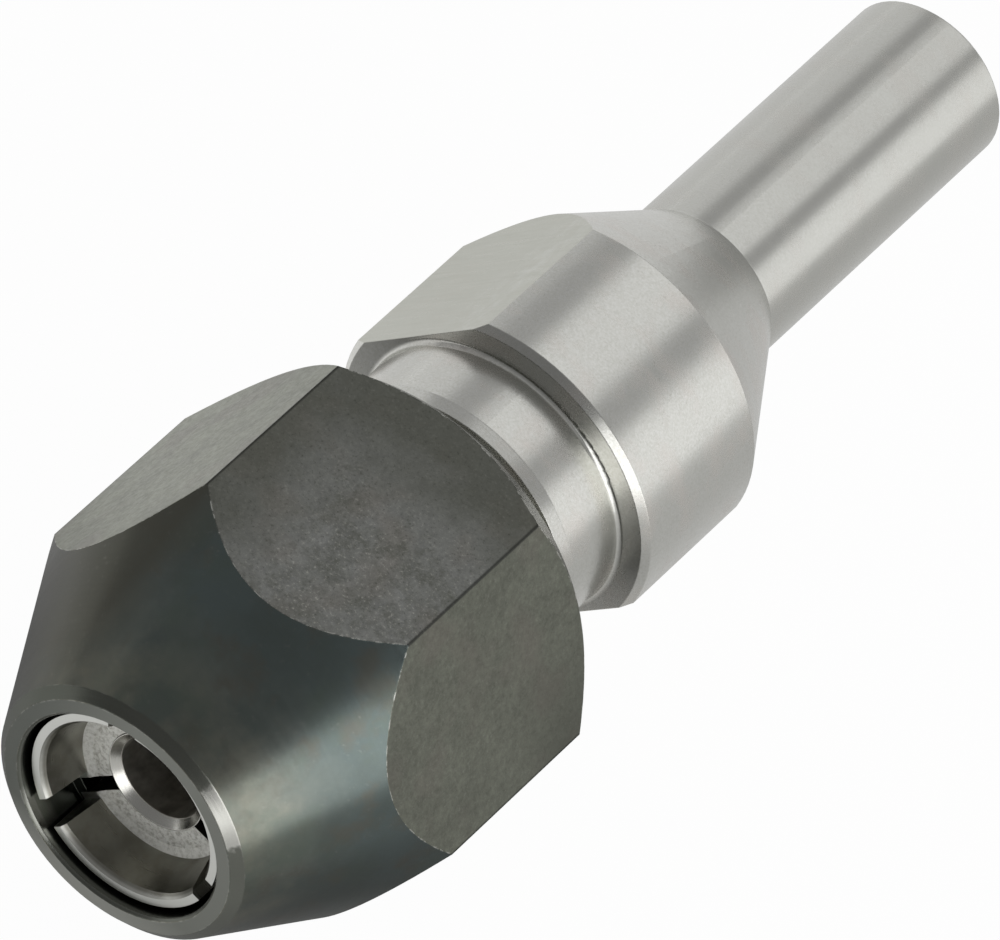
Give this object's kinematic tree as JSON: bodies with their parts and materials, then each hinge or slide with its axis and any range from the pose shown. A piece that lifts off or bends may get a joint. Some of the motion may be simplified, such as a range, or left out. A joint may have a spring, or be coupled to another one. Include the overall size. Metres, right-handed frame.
{
  "type": "router bit collet chuck",
  "caption": "Collet chuck extension for a router: a plain steel shank and a threaded nose with a black hex nut that closes a slotted spring collet on the bit.",
  "frame": {"origin": "on the common axis, at the root of the shank where the shoulder cone ends", "axes": "+X along the axis, from the nut's nose to the end of the shank; +Z square to the nut flat that faces up when it lies on the opposite flat"},
  "size_m": [0.0919, 0.034, 0.0296],
  "materials": {
    "chuck_body": "turned and ground, satin",
    "collet": "turned spring steel, satin",
    "bit_sleeve": "ground steel, satin",
    "collet_nut": "black oxide"
  },
  "bodies": {
    "chuck_body": {"chuck_body": "chuck_body"},
    "collet": {"collet": "collet", "bit_sleeve": "bit_sleeve"},
    "collet_nut": {"collet_nut": "collet_nut"}
  },
  "joints": [
    {"name": "collet_travel", "type": "slide", "parent": "chuck_body", "child": "collet", "axis": [-1, 0, 0], "range_m": [0, 0.0165]},
    {"name": "nut_turn", "type": "hinge", "parent": "collet", "child": "collet_nut", "pos_m": [-0.06435, 0, 0], "axis": [-1, 0, 0], "range_deg": [0, 3961]}
  ],
  "couplings": [
    {"joint": "nut_turn", "follows": "collet_travel", "rad_per_m": 4188.8}
  ]
}
